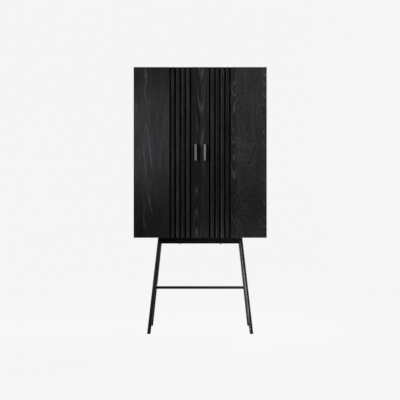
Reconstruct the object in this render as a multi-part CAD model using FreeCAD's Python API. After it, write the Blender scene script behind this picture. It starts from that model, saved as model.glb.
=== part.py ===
import FreeCAD, Part
import math
import os

Vector = FreeCAD.Vector

# Two door bar cabinet on a splayed tube frame, with a fold out shelf on the left door.
# Millimetres. X to the right, Y to the back, Z up. The origin is at the floor, in the
# middle of the whole depth, pulls included. The front faces -Y.

# overall sizes
CABINET_WIDTH = 750.0        # across both doors
CASE_HEIGHT = 962.0          # doors and case, from the frame to the top
FRAME_HEIGHT = 546.0         # floor to the underside of the case
CASE_DEPTH = 394.0           # side panels, front to back
PULL_PROJECTION = 22.0       # pulls, ahead of the door face

# boards of the case
PANEL = 18.0
BACK_PANEL = 6.0
BACK_REBATE = 10.0           # how far the back panel laps the boards round it
SHELF_SETBACK = 30.0         # shelf edge behind the case front
LOWER_SHELF_TOP = 254.0      # above the case underside
UPPER_SHELF_UNDER = 669.0    # above the case underside
DIVIDER = 9.0
DIVIDER_GROOVE = 3.0
DIVIDER_COUNT = 3
DOWEL_DIAMETER = 8.0
DOWEL_IN_SIDE = 12.0
DOWEL_IN_BOARD = 18.0
DOWEL_SHARES = (0.12, 0.5, 0.88)     # along the depth of a board
BACK_SCREW_SHARES = (0.08, 0.36, 0.64, 0.92)
BACK_SCREW_TURN = 0.6                # outer screws of the top and bottom rows
JOINT_CLEARANCE = 0.05       # round dowels and screws in their holes

# stemware rack under the top
RACK_RAILS = 5
RACK_PITCH = 100.0
RACK_BATTEN_WIDTH = 12.0
RACK_BATTEN_HEIGHT = 14.0
RACK_SLAT_WIDTH = 74.0
RACK_SLAT_THICKNESS = 6.0
RACK_LENGTH = 290.0

# doors
DOOR_GAP = 2.0               # between the two doors
DOOR_BACK_GAP = 2.0          # between door and case
DOOR_CORE = 15.0
DOOR_FACING = 9.0
GROOVE = 8.8
SLAT_WIDTH = 19.6
SLATS = 4
INNER_FACING = 49.4
ARRIS = 0.8

# pulls, folded from plate to a channel that opens away from the middle
PULL_HEIGHT = 91.0
PULL_PLATE = 3.0
PULL_FROM_EDGE = 19.0        # from the door's edge
PULL_LIP = 11.4
PULL_BEND = 1.2              # inner radius of the folds
PULL_OUTER_BEND = 2.6
PULL_SCREW = 4.0
PULL_SCREW_HEAD = 8.0
PULL_SCREW_SPACING = 60.0

# butt hinges of the doors and of the fold out shelf
HINGE_LENGTH = 50.0
HINGE_PLATE = 1.5
HINGE_PLATE_GAP = 0.4        # between two closed plates
HINGE_PLATE_EDGE = 0.4       # from the board's edge to the plate
HINGE_PLATE_MARGIN = 2.9     # from the plate to the far side of a case panel
KNUCKLE_RADIUS = 2.7
HINGE_PIN = 3.0
HINGE_PIN_CLEARANCE = 0.05
KNUCKLE_GAP = 0.4
AXIS_OUTSET = 3.3            # hinge axis beyond the edge of the board it carries
NOTCH_CLEARANCE = 0.5
MORTISE_CLEARANCE = 0.1
DOOR_HINGE_INSET = 110.0     # hinge middle from the door's top and bottom
WOOD_SCREW = 3.0
WOOD_SCREW_HEAD = 6.0
WOOD_SCREW_LENGTH = 14.0
HINGE_SCREW_SPACING = 26.0

# magnetic catch of the doors
CATCH_WIDTH = 44.0
CATCH_DEPTH = 26.0
CATCH_HEIGHT = 13.0
STRIKE_WIDTH = 14.0
STRIKE_HEIGHT = 12.0
STRIKE_THICKNESS = 1.2
STRIKE_INSET = 0.4           # sunk into the door's back
STRIKE_FROM_EDGE = 3.5
CATCH_SCREW_SHARE = 0.65     # along the depth of the catch
CATCH_CORNER = 2.0
CATCH_GAP = 0.4

# fold out shelf on the left door
LEAF_DEPTH = 220.0
LEAF_THICKNESS = 16.0
LEAF_FROM_AXIS = 35.0        # from the door's hinge axis to the shelf
LEAF_SWING_CLEARANCE = 5.5   # its far corner to the other door, as the left door swings
LEAF_AXIS_HEIGHT = 419.0     # above the case underside
LEAF_HINGE_INSET = 45.0
LEAF_EDGE = 2.0              # rounding of its free edge
LEAF_MAGNET = 12.0
LEAF_MAGNET_INSET = 25.0     # below the free edge
LEAF_MAGNET_DEPTH = 5.0
LEAF_STRIKE_DEPTH = 1.5

# rod bracket under the fold out shelf
ROD = 8.0
BRACKET_REACH = 142.0
BRACKET_RISE = 97.0
BRACKET_STAND_OFF = 7.0      # axle from the door's inner face
BRACKET_TOP_GAP = 0.4        # under the folded out shelf
EYELET_LENGTH = 8.0
EYELET_WALL = 2.5
EYELET_PLATE = 2.0
EYELET_PLATE_WIDTH = 34.0
AXLE_CLEARANCE = 0.05
EYELET_GAP = 0.5
EYELET_SCREW_INSET = 4.8     # from the end of an eyelet's plate
EYELET_NECK_SHARE = 0.7      # neck to barrel

# frame
BOARD_THICKNESS = 24.0
BOARD_SETBACK = 2.0          # its edge behind the outer faces of the rails
LEG_DIAMETER = 20.0
LEG_WALL = 2.0
FOOT_HALF_WIDTH = 291.0
LEG_TOP_HALF_WIDTH = 231.0
FOOT_HALF_DEPTH = 175.0
LEG_TOP_HALF_DEPTH = 95.0
RAIL = 15.0
RAIL_WALL = 1.5
STRETCHER_DIAMETER = 16.0
STRETCHER_HEIGHT = 245.0
GLIDE_HEIGHT = 5.0
GLIDE_PLUG = 14.0
GLIDE_CLEARANCE = 0.1
BOLT = 6.0
BOLT_HEAD = 9.5
BOLT_HEAD_HEIGHT = 3.5
BOLT_HALF_SPACING = 117.0
SIDE_BOLT_HALF_SPACING = 50.0
BOLT_IN_CASE = 12.0

# worked out
TOTAL_HEIGHT = FRAME_HEIGHT + CASE_HEIGHT
DOOR_THICKNESS = DOOR_CORE + DOOR_FACING
TOTAL_DEPTH = PULL_PROJECTION + DOOR_THICKNESS + DOOR_BACK_GAP + CASE_DEPTH
PULL_FRONT = -TOTAL_DEPTH / 2
DOOR_FRONT = PULL_FRONT + PULL_PROJECTION
CORE_FRONT = DOOR_FRONT + DOOR_FACING
DOOR_BACK = CORE_FRONT + DOOR_CORE
CASE_FRONT = DOOR_BACK + DOOR_BACK_GAP
CASE_BACK = CASE_FRONT + CASE_DEPTH
AXIS_Y = DOOR_BACK + DOOR_BACK_GAP / 2
DOOR_EDGE = CABINET_WIDTH / 2
DOOR_INNER_EDGE = DOOR_GAP / 2
DOOR_AXIS_X = DOOR_EDGE - KNUCKLE_RADIUS
CASE_HALF = DOOR_AXIS_X - AXIS_OUTSET
INNER_HALF = CASE_HALF - PANEL
CASE_BOTTOM = FRAME_HEIGHT
CASE_TOP = TOTAL_HEIGHT
BOTTOM_TOP = CASE_BOTTOM + PANEL
TOP_UNDER = CASE_TOP - PANEL
BACK_FRONT = CASE_BACK - BACK_PANEL
SHELF_FRONT = CASE_FRONT + SHELF_SETBACK
FRAME_MIDDLE_Y = (DOOR_FRONT + CASE_BACK) / 2
LEAF_AXIS_Z = CASE_BOTTOM + LEAF_AXIS_HEIGHT
LEAF_REACH = DOOR_AXIS_X + DOOR_INNER_EDGE - LEAF_SWING_CLEARANCE
LEAF_OUT = AXIS_OUTSET + LEAF_DEPTH + DOOR_BACK_GAP / 2
LEAF_WIDTH = math.sqrt(LEAF_REACH ** 2 - LEAF_OUT ** 2) - LEAF_FROM_AXIS
LEAF_LEFT = -DOOR_AXIS_X + LEAF_FROM_AXIS
LEAF_MIDDLE = LEAF_LEFT + LEAF_WIDTH / 2
LEAF_BOTTOM = LEAF_AXIS_Z + AXIS_OUTSET
LEAF_TOP = LEAF_BOTTOM + LEAF_DEPTH
LEAF_FRONT = DOOR_BACK + DOOR_BACK_GAP
UP = Vector(0, 0, 1)
BACK = Vector(0, 1, 0)
RIGHT = Vector(1, 0, 0)
SIDES = (("left", -1), ("right", 1))
FRAME_ENDS = (("front", -1), ("rear", 1))

os.makedirs("parts", exist_ok=True)


def save(name, shape):
    shape.exportStep("parts/" + name + ".step")


def box(x0, x1, y0, y1, z0, z1):
    """A block between two corners. x0 and x1 come in either order."""
    return Part.makeBox(abs(x1 - x0), y1 - y0, z1 - z0, Vector(min(x0, x1), y0, z0))


def rod(start, end, radius):
    way = end - start
    return Part.makeCylinder(radius, way.Length, start, way)


def join(shapes):
    return shapes[0].fuse(shapes[1:]).removeSplitter()


def cut(shape, tools):
    result = shape.cut(tools)
    return result.Solids[0] if len(result.Solids) == 1 else result


def group(shapes):
    return Part.makeCompound(shapes)


def wood_screw(place, way, clearance=0.0):
    """A countersunk screw. Its flat head is at place, and it points along way."""
    head_depth = (WOOD_SCREW_HEAD - WOOD_SCREW) / 2
    head = Part.makeCone(WOOD_SCREW_HEAD / 2 + clearance, WOOD_SCREW / 2 + clearance,
                         head_depth, place, way)
    shank = Part.makeCylinder(WOOD_SCREW / 2 + clearance, WOOD_SCREW_LENGTH + clearance, place, way)
    return join([head, shank])


def in_frame(shape, place, across, through):
    """Place a shape drawn with X along across and Y along through."""
    along = across.cross(through)
    matrix = FreeCAD.Matrix(across.x, through.x, along.x, place.x,
                            across.y, through.y, along.y, place.y,
                            across.z, through.z, along.z, place.z,
                            0, 0, 0, 1)
    placed = shape.copy()
    placed.Placement = FreeCAD.Placement(matrix)
    return placed


# ---- butt hinge, drawn with its axis on Z, plates towards +X and the carrier on the +Y side

KNUCKLE_LENGTH = (HINGE_LENGTH - 2 * KNUCKLE_GAP) / 3
PLATE_NEAR = AXIS_OUTSET + HINGE_PLATE_EDGE
PLATE_FAR = AXIS_OUTSET + PANEL - HINGE_PLATE_MARGIN
HINGE_SCREW_X = (PLATE_NEAR + PLATE_FAR) / 2


def hinge_screw_places(side):
    """Head places and way of the two screws of a plate. side is 1 for the +Y plate."""
    face = side * HINGE_PLATE_GAP / 2
    return [(Vector(HINGE_SCREW_X, face, height), Vector(0, side, 0))
            for height in (-HINGE_SCREW_SPACING / 2, HINGE_SCREW_SPACING / 2)]


def hinge_plate(side, knuckles):
    """One plate with its knuckles, given as start heights."""
    inner = HINGE_PLATE_GAP / 2
    low = inner if side > 0 else -inner - HINGE_PLATE
    high = low + HINGE_PLATE
    half = HINGE_LENGTH / 2
    pieces = [box(PLATE_NEAR, PLATE_FAR, low, high, -half, half)]
    for start in knuckles:
        end = start + KNUCKLE_LENGTH
        pieces.append(box(0, PLATE_NEAR + 1, low, high, start, end))
        pieces.append(rod(Vector(0, 0, start), Vector(0, 0, end), KNUCKLE_RADIUS))
    holes = [wood_screw(place, way, JOINT_CLEARANCE) for place, way in hinge_screw_places(side)]
    holes.append(rod(Vector(0, 0, -HINGE_LENGTH), Vector(0, 0, HINGE_LENGTH),
                     HINGE_PIN / 2 + HINGE_PIN_CLEARANCE))
    return cut(join(pieces), holes)


def hinge_parts():
    """Carrier plate with two knuckles, swinging plate with one, pin and screws."""
    low = -HINGE_LENGTH / 2
    step = KNUCKLE_LENGTH + KNUCKLE_GAP
    carrier = hinge_plate(1, (low, low + 2 * step))
    swinging = hinge_plate(-1, (low + step,))
    pin = rod(Vector(0, 0, low), Vector(0, 0, -low), HINGE_PIN / 2)
    carrier_screws = group([wood_screw(place, way) for place, way in hinge_screw_places(1)])
    swinging_screws = group([wood_screw(place, way) for place, way in hinge_screw_places(-1)])
    return carrier, swinging, pin, carrier_screws, swinging_screws


def hinge_cuts(side):
    """What a board loses for one hinge: mortise, screw holes and room for the knuckles."""
    half = HINGE_LENGTH / 2 + MORTISE_CLEARANCE
    deep = HINGE_PLATE_GAP / 2 + HINGE_PLATE
    far = PLATE_FAR + MORTISE_CLEARANCE
    mortise = box(0, far, min(0, side * deep), max(0, side * deep), -half, half)
    room_half = HINGE_LENGTH / 2 + NOTCH_CLEARANCE
    room = rod(Vector(0, 0, -room_half), Vector(0, 0, room_half), KNUCKLE_RADIUS + NOTCH_CLEARANCE)
    screws = [wood_screw(place, way, JOINT_CLEARANCE) for place, way in hinge_screw_places(side)]
    return [mortise, room] + screws


HINGE_CARRIER, HINGE_SWINGING, HINGE_PIN_SHAPE, CARRIER_SCREWS, SWINGING_SCREWS = hinge_parts()
DOOR_HINGE_HEIGHTS = (CASE_BOTTOM + DOOR_HINGE_INSET,
                      (CASE_BOTTOM + CASE_TOP) / 2,
                      CASE_TOP - DOOR_HINGE_INSET)
LEAF_HINGE_PLACES = (LEAF_LEFT + LEAF_HINGE_INSET, LEAF_LEFT + LEAF_WIDTH - LEAF_HINGE_INSET)


def at_door_hinge(shape, sign, height):
    return in_frame(shape, Vector(sign * DOOR_AXIS_X, AXIS_Y, height), RIGHT * -sign, BACK)


def at_leaf_hinge(shape, x):
    return in_frame(shape, Vector(x, AXIS_Y, LEAF_AXIS_Z), UP, BACK)


def make_hinges():
    carriers = []
    pins = []
    for side, sign in SIDES:
        carriers += [at_door_hinge(HINGE_CARRIER, sign, height) for height in DOOR_HINGE_HEIGHTS]
        pins += [at_door_hinge(HINGE_PIN_SHAPE, sign, height) for height in DOOR_HINGE_HEIGHTS]
        save("hinge_leaves_door_" + side,
             group([at_door_hinge(HINGE_SWINGING, sign, height) for height in DOOR_HINGE_HEIGHTS]))
    save("hinge_leaves_case", group(carriers))
    save("hinge_pins", group(pins))


# ---- case

def dowel_rows():
    """Middle height of each board that is dowelled between the sides."""
    return (CASE_BOTTOM + PANEL / 2,
            CASE_BOTTOM + LOWER_SHELF_TOP - PANEL / 2,
            CASE_BOTTOM + UPPER_SHELF_UNDER + PANEL / 2,
            CASE_TOP - PANEL / 2)


def dowels(clearance=0.0):
    depth = BACK_FRONT - SHELF_FRONT
    places_y = [SHELF_FRONT + depth * share for share in DOWEL_SHARES]
    pieces = []
    for side, sign in SIDES:
        for height in dowel_rows():
            for y in places_y:
                start = Vector(sign * (INNER_HALF + DOWEL_IN_SIDE + clearance), y, height)
                end = Vector(sign * (INNER_HALF - DOWEL_IN_BOARD - clearance), y, height)
                pieces.append(rod(start, end, DOWEL_DIAMETER / 2 + clearance))
    return pieces


def back_screws(clearance=0.0):
    """Screws round the edge of the back panel."""
    x = CASE_HALF - PANEL + BACK_REBATE / 2
    low = CASE_BOTTOM + PANEL - BACK_REBATE / 2
    high = CASE_TOP - PANEL + BACK_REBATE / 2
    places = []
    for share in BACK_SCREW_SHARES:
        height = low + (high - low) * share
        places += [(-x, height), (x, height)]
    for share in (-BACK_SCREW_TURN, 0.0, BACK_SCREW_TURN):
        places += [(x * share, low), (x * share, high)]
    return [wood_screw(Vector(px, CASE_BACK, pz), -BACK, clearance) for px, pz in places]


def divider_places():
    step = (2 * INNER_HALF - DIVIDER_COUNT * DIVIDER) / (DIVIDER_COUNT + 1) + DIVIDER
    return [step * (index - (DIVIDER_COUNT - 1) / 2) for index in range(DIVIDER_COUNT)]


def make_case():
    dowel_holes = dowels(JOINT_CLEARANCE)
    screw_holes = back_screws(JOINT_CLEARANCE)
    lap = PANEL - BACK_REBATE
    recess = box(-CASE_HALF + lap, CASE_HALF - lap, BACK_FRONT, CASE_BACK + 1,
                 CASE_BOTTOM + lap, CASE_TOP - lap)
    back = box(-CASE_HALF + lap, CASE_HALF - lap, BACK_FRONT, CASE_BACK,
               CASE_BOTTOM + lap, CASE_TOP - lap)
    save("back_panel", cut(back, screw_holes))

    for side, sign in SIDES:
        panel = box(sign * INNER_HALF, sign * CASE_HALF, CASE_FRONT, CASE_BACK, CASE_BOTTOM, CASE_TOP)
        cuts = [recess] + dowel_holes + screw_holes
        for height in DOOR_HINGE_HEIGHTS:
            cuts += [at_door_hinge(tool, sign, height) for tool in hinge_cuts(1)]
        save("side_panel_" + side, cut(panel, cuts))

    bottom = box(-INNER_HALF, INNER_HALF, CASE_FRONT, CASE_BACK, CASE_BOTTOM, BOTTOM_TOP)
    top = box(-INNER_HALF, INNER_HALF, CASE_FRONT, CASE_BACK, TOP_UNDER, CASE_TOP)
    shelf_top = CASE_BOTTOM + LOWER_SHELF_TOP
    shelf_under = CASE_BOTTOM + UPPER_SHELF_UNDER
    lower = box(-INNER_HALF, INNER_HALF, SHELF_FRONT, BACK_FRONT, shelf_top - PANEL, shelf_top)
    upper = box(-INNER_HALF, INNER_HALF, SHELF_FRONT, BACK_FRONT, shelf_under, shelf_under + PANEL)

    grooves = [divider(x, MORTISE_CLEARANCE) for x in divider_places()]
    save("bottom_panel", cut(bottom, [recess] + dowel_holes + screw_holes + grooves + bolts(JOINT_CLEARANCE)))
    save("top_panel", cut(top, [recess] + dowel_holes + screw_holes + catch_screws(JOINT_CLEARANCE)))
    save("lower_shelf", cut(lower, dowel_holes + grooves))
    save("upper_shelf", cut(upper, dowel_holes))
    for index, x in enumerate(divider_places()):
        save("bottle_divider_" + str(index + 1), divider(x, 0.0))
    save("case_dowels", group(dowels()))


def divider(x, clearance):
    """A board that stands in grooves of the bottom panel and the lower shelf."""
    half = DIVIDER / 2 + clearance
    low = BOTTOM_TOP - DIVIDER_GROOVE - clearance
    high = CASE_BOTTOM + LOWER_SHELF_TOP - PANEL + DIVIDER_GROOVE + clearance
    return box(x - half, x + half, SHELF_FRONT - clearance, BACK_FRONT, low, high)


def make_rack():
    """Battens under the top with wider slats below them: glasses hang by the foot."""
    middle = (SHELF_FRONT + BACK_FRONT) / 2
    start = middle - RACK_LENGTH / 2
    end = middle + RACK_LENGTH / 2
    battens = []
    slats = []
    for index in range(RACK_RAILS):
        x = RACK_PITCH * (index - (RACK_RAILS - 1) / 2)
        low = TOP_UNDER - RACK_BATTEN_HEIGHT
        battens.append(box(x - RACK_BATTEN_WIDTH / 2, x + RACK_BATTEN_WIDTH / 2,
                           start, end, low, TOP_UNDER))
        slats.append(box(x - RACK_SLAT_WIDTH / 2, x + RACK_SLAT_WIDTH / 2,
                         start, end, low - RACK_SLAT_THICKNESS, low))
    save("rack_battens", group(battens))
    save("rack_slats", group(slats))


# ---- door catch

STRIKE_FRONT = DOOR_BACK - STRIKE_INSET
CATCH_FRONT = STRIKE_FRONT + STRIKE_THICKNESS + CATCH_GAP
STRIKE_MIDDLE_Z = TOP_UNDER - CATCH_HEIGHT / 2
STRIKE_X = DOOR_INNER_EDGE + STRIKE_FROM_EDGE + STRIKE_WIDTH / 2
CATCH_SCREW_Y = CATCH_FRONT + CATCH_DEPTH * CATCH_SCREW_SHARE


def catch_screws(clearance=0.0):
    return [wood_screw(Vector(x, CATCH_SCREW_Y, TOP_UNDER - WOOD_SCREW_LENGTH / 2), UP, clearance)
            for x in (-CATCH_WIDTH / 4, CATCH_WIDTH / 4)]


def make_catch():
    """A double magnetic catch under the top, with a steel strike on each door."""
    body = box(-CATCH_WIDTH / 2, CATCH_WIDTH / 2, CATCH_FRONT, CATCH_FRONT + CATCH_DEPTH,
               TOP_UNDER - CATCH_HEIGHT, TOP_UNDER)
    upright = [edge for edge in body.Edges if abs(edge.BoundBox.ZLength - CATCH_HEIGHT) < 0.01]
    body = body.makeFillet(CATCH_CORNER, upright)
    heads = [rod(Vector(x, CATCH_SCREW_Y, TOP_UNDER - CATCH_HEIGHT - 1),
                 Vector(x, CATCH_SCREW_Y, TOP_UNDER - WOOD_SCREW_LENGTH / 2),
                 WOOD_SCREW_HEAD / 2 + JOINT_CLEARANCE)
             for x in (-CATCH_WIDTH / 4, CATCH_WIDTH / 4)]
    save("magnetic_catch", cut(body, catch_screws(JOINT_CLEARANCE) + heads))
    for side, sign in SIDES:
        save("strike_plate_" + side, strike(sign, 0.0))


def strike(sign, clearance):
    half_width = STRIKE_WIDTH / 2 + clearance
    half_height = STRIKE_HEIGHT / 2 + clearance
    return box(sign * (STRIKE_X - half_width), sign * (STRIKE_X + half_width),
               STRIKE_FRONT, STRIKE_FRONT + STRIKE_THICKNESS,
               STRIKE_MIDDLE_Z - half_height, STRIKE_MIDDLE_Z + half_height)


# ---- doors

def facing(sign, near, far):
    """A strip of the door's face between two distances from the middle, with eased edges."""
    outline = [(near, CORE_FRONT), (near, DOOR_FRONT + ARRIS), (near + ARRIS, DOOR_FRONT),
               (far - ARRIS, DOOR_FRONT), (far, DOOR_FRONT + ARRIS), (far, CORE_FRONT)]
    points = [Vector(sign * x, y, CASE_BOTTOM) for x, y in outline]
    face = Part.Face(Part.makePolygon(points + points[:1]))
    return face.extrude(UP * CASE_HEIGHT)


PULL_WEB = DOOR_INNER_EDGE + PULL_FROM_EDGE


def pull_screws(sign, clearance=0.0):
    """Machine screws that come through the door from behind into the pull's base."""
    x = sign * (PULL_WEB + (PULL_PLATE + PULL_LIP) / 2)
    middle = (CASE_BOTTOM + CASE_TOP) / 2
    radius = PULL_SCREW / 2 + clearance
    pieces = []
    for height in (middle - PULL_SCREW_SPACING / 2, middle + PULL_SCREW_SPACING / 2):
        start = Vector(x, DOOR_BACK, height)
        end = Vector(x, DOOR_FRONT - PULL_PLATE - clearance, height)
        head = Part.makeCone(PULL_SCREW_HEAD / 2 + clearance, radius,
                             (PULL_SCREW_HEAD - PULL_SCREW) / 2, start, -BACK)
        pieces.append(join([rod(start, end, radius), head]))
    return pieces


def pull(sign):
    """A plate folded twice: base on the door, web to the front, lip away from the middle."""
    web = PULL_WEB
    web_back = web + PULL_PLATE
    lip_end = web + PULL_LIP
    lip_back = PULL_FRONT + PULL_PLATE
    base_front = DOOR_FRONT - PULL_PLATE
    outline = [(web, DOOR_FRONT), (web, PULL_FRONT), (lip_end, PULL_FRONT), (lip_end, lip_back),
               (web_back, lip_back), (web_back, base_front), (lip_end, base_front),
               (lip_end, DOOR_FRONT)]
    low = (CASE_BOTTOM + CASE_TOP - PULL_HEIGHT) / 2
    points = [Vector(sign * x, y, low) for x, y in outline]
    body = Part.Face(Part.makePolygon(points + points[:1])).extrude(UP * PULL_HEIGHT)

    def edges_at(places):
        return [edge for edge in body.Edges if edge.BoundBox.ZLength > PULL_HEIGHT - 1
                and any(abs(edge.BoundBox.Center.x - sign * x) < 0.01
                        and abs(edge.BoundBox.Center.y - y) < 0.01 for x, y in places)]

    body = body.makeFillet(PULL_OUTER_BEND, edges_at([(web, PULL_FRONT), (web, DOOR_FRONT)]))
    body = body.makeFillet(PULL_BEND, edges_at([(web_back, lip_back), (web_back, base_front)]))
    return cut(body, pull_screws(sign, JOINT_CLEARANCE))


def door_screws(sign):
    """Every wood screw that is driven into one door from behind."""
    pieces = []
    for height in DOOR_HINGE_HEIGHTS:
        pieces += at_door_hinge(SWINGING_SCREWS, sign, height).Solids
    if sign < 0:
        for x in LEAF_HINGE_PLACES:
            pieces += at_leaf_hinge(SWINGING_SCREWS, x).Solids
        pieces += eyelet_screws()
    return pieces


def make_door(side, sign):
    through_core = pull_screws(sign, JOINT_CLEARANCE)
    core = box(sign * DOOR_INNER_EDGE, sign * DOOR_EDGE, CORE_FRONT, DOOR_BACK, CASE_BOTTOM, CASE_TOP)
    cuts = through_core + [strike(sign, MORTISE_CLEARANCE)]
    for height in DOOR_HINGE_HEIGHTS:
        cuts += [at_door_hinge(tool, sign, height) for tool in hinge_cuts(-1)]
    if sign < 0:
        for x in LEAF_HINGE_PLACES:
            cuts += [at_leaf_hinge(tool, x) for tool in hinge_cuts(-1)]
        cuts += eyelet_screws(JOINT_CLEARANCE)
        cuts.append(leaf_magnet())
    save("door_core_" + side, cut(core, cuts))

    near = DOOR_INNER_EDGE + INNER_FACING
    save("inner_facing_" + side, cut(facing(sign, DOOR_INNER_EDGE, near), through_core))
    slats = []
    for index in range(SLATS):
        near += GROOVE
        slats.append(facing(sign, near, near + SLAT_WIDTH))
        near += SLAT_WIDTH
    save("slats_light_" + side, group(slats[0::2]))
    save("slats_dark_" + side, group(slats[1::2]))
    save("outer_facing_" + side, facing(sign, near + GROOVE, DOOR_EDGE))
    save("pull_" + side, pull(sign))
    save("pull_screws_" + side, group(pull_screws(sign)))
    save("door_screws_" + side, group(door_screws(sign)))


# ---- fold out shelf and its rod bracket, both on the left door

LEAF_MAGNET_Z = LEAF_TOP - LEAF_MAGNET_INSET
LEAF_MAGNET_BACK = LEAF_FRONT - HINGE_PLATE_GAP
AXLE_X = LEAF_MIDDLE
AXLE_Y = DOOR_BACK + BRACKET_STAND_OFF
LEAF_UNDER = LEAF_AXIS_Z - DOOR_BACK_GAP / 2 - LEAF_THICKNESS
ARM_Z = LEAF_UNDER - BRACKET_TOP_GAP - ROD / 2
BRACE_Z = ARM_Z - BRACKET_RISE
UPPER_EYELET_TOP = ARM_Z - ROD / 2 - EYELET_GAP
LOWER_EYELET_TOP = BRACE_Z - ROD
AXLE_END = LOWER_EYELET_TOP - EYELET_LENGTH - ROD / 2


def leaf_magnet():
    end = Vector(LEAF_MIDDLE, LEAF_MAGNET_BACK, LEAF_MAGNET_Z)
    return rod(end - BACK * LEAF_MAGNET_DEPTH, end, LEAF_MAGNET / 2)


def leaf_strike():
    start = Vector(LEAF_MIDDLE, LEAF_FRONT, LEAF_MAGNET_Z)
    return rod(start, start + BACK * LEAF_STRIKE_DEPTH, LEAF_MAGNET / 2)


def make_leaf():
    board = box(LEAF_LEFT, LEAF_LEFT + LEAF_WIDTH, LEAF_FRONT, LEAF_FRONT + LEAF_THICKNESS,
                LEAF_BOTTOM, LEAF_TOP)
    board = board.makeFillet(LEAF_EDGE, [edge for edge in board.Edges
                                         if edge.BoundBox.ZMin > LEAF_TOP - 0.01])
    cuts = [leaf_strike()]
    for x in LEAF_HINGE_PLACES:
        cuts += [at_leaf_hinge(tool, x) for tool in hinge_cuts(1)]
    save("fold_out_shelf", cut(board, cuts))
    save("shelf_hinge_leaves", group([at_leaf_hinge(HINGE_CARRIER, x) for x in LEAF_HINGE_PLACES]))
    save("door_shelf_hinge_leaves", group([at_leaf_hinge(HINGE_SWINGING, x) for x in LEAF_HINGE_PLACES]))
    save("shelf_hinge_pins", group([at_leaf_hinge(HINGE_PIN_SHAPE, x) for x in LEAF_HINGE_PLACES]))
    screws = []
    for x in LEAF_HINGE_PLACES:
        screws += at_leaf_hinge(CARRIER_SCREWS, x).Solids
    save("shelf_screws", group(screws))
    save("shelf_magnet", leaf_magnet())
    save("shelf_strike", leaf_strike())


def eyelet_tops():
    return (UPPER_EYELET_TOP, LOWER_EYELET_TOP)


def eyelet_screws(clearance=0.0):
    pieces = []
    for top in eyelet_tops():
        for sign in (-1, 1):
            x = AXLE_X + sign * (EYELET_PLATE_WIDTH / 2 - EYELET_SCREW_INSET)
            pieces.append(wood_screw(Vector(x, DOOR_BACK + EYELET_PLATE, top - EYELET_LENGTH / 2),
                                     -BACK, clearance))
    return pieces


def make_bracket():
    """A rod triangle that swings on its upright side, and the eyelets that carry it."""
    radius = ROD / 2
    top = Vector(AXLE_X, AXLE_Y, ARM_Z)
    tip = top + RIGHT * BRACKET_REACH
    foot = Vector(AXLE_X, AXLE_Y, BRACE_Z)
    pieces = [rod(Vector(AXLE_X, AXLE_Y, AXLE_END), top, radius), rod(top, tip, radius),
              rod(foot, tip, radius), Part.makeSphere(radius, top), Part.makeSphere(radius, tip)]
    save("shelf_bracket", join(pieces))

    ring = radius + AXLE_CLEARANCE + EYELET_WALL
    eyelets = []
    for height in eyelet_tops():
        low = height - EYELET_LENGTH
        plate = box(AXLE_X - EYELET_PLATE_WIDTH / 2, AXLE_X + EYELET_PLATE_WIDTH / 2,
                    DOOR_BACK, DOOR_BACK + EYELET_PLATE, low, height)
        neck_half = ring * EYELET_NECK_SHARE
        neck = box(AXLE_X - neck_half, AXLE_X + neck_half, DOOR_BACK, AXLE_Y, low, height)
        barrel = rod(Vector(AXLE_X, AXLE_Y, low), Vector(AXLE_X, AXLE_Y, height), ring)
        bore = rod(Vector(AXLE_X, AXLE_Y, low - 1), Vector(AXLE_X, AXLE_Y, height + 1),
                   radius + AXLE_CLEARANCE)
        eyelets.append(cut(join([plate, neck, barrel]), [bore] + eyelet_screws(JOINT_CLEARANCE)))
    save("bracket_eyelets", group(eyelets))


# ---- frame

def leg_point(side, end, height):
    """Where a leg's centre line is at a height. side and end are -1 or 1."""
    share = height / FRAME_HEIGHT
    x = FOOT_HALF_WIDTH + (LEG_TOP_HALF_WIDTH - FOOT_HALF_WIDTH) * share
    y = FOOT_HALF_DEPTH + (LEG_TOP_HALF_DEPTH - FOOT_HALF_DEPTH) * share
    return Vector(side * x, FRAME_MIDDLE_Y + end * y, height)


def leg_solid(side, end, radius):
    """A leg that runs on past the floor and past the case, to be trimmed level."""
    return rod(leg_point(side, end, -2 * LEG_DIAMETER),
               leg_point(side, end, FRAME_HEIGHT + 2 * LEG_DIAMETER), radius)


def all_legs(radius):
    return [leg_solid(side, end, radius) for _, side in SIDES for _, end in FRAME_ENDS]


RAIL_TOP = FRAME_HEIGHT - BOARD_THICKNESS
RAIL_MIDDLE = RAIL_TOP - RAIL / 2
RAIL_PLACE = leg_point(1, 1, RAIL_MIDDLE)
RAIL_SIDE_X = RAIL_PLACE.x
RAIL_HALF_Y = RAIL_PLACE.y - FRAME_MIDDLE_Y


def bolt_places():
    places = [(side * BOLT_HALF_SPACING, FRAME_MIDDLE_Y + end * RAIL_HALF_Y)
              for _, side in SIDES for _, end in FRAME_ENDS]
    places += [(side * RAIL_SIDE_X, FRAME_MIDDLE_Y + end * SIDE_BOLT_HALF_SPACING)
               for _, side in SIDES for _, end in FRAME_ENDS]
    return places


def bolts(clearance=0.0):
    """Bolts up through the rails and the mounting board into the bottom panel."""
    pieces = []
    for x, y in bolt_places():
        under = RAIL_TOP - RAIL
        start = Vector(x, y, under)
        end = Vector(x, y, CASE_BOTTOM + BOLT_IN_CASE + clearance)
        head = Vector(x, y, under - BOLT_HEAD_HEIGHT)
        pieces.append(join([rod(start, end, BOLT / 2 + clearance), rod(head, start, BOLT_HEAD / 2)]))
    return pieces


def rail_box(end):
    """The room of the front or rear rail between the legs."""
    y = FRAME_MIDDLE_Y + end * RAIL_HALF_Y
    return box(-RAIL_SIDE_X, RAIL_SIDE_X, y - RAIL / 2, y + RAIL / 2, RAIL_TOP - RAIL, RAIL_TOP)


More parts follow.
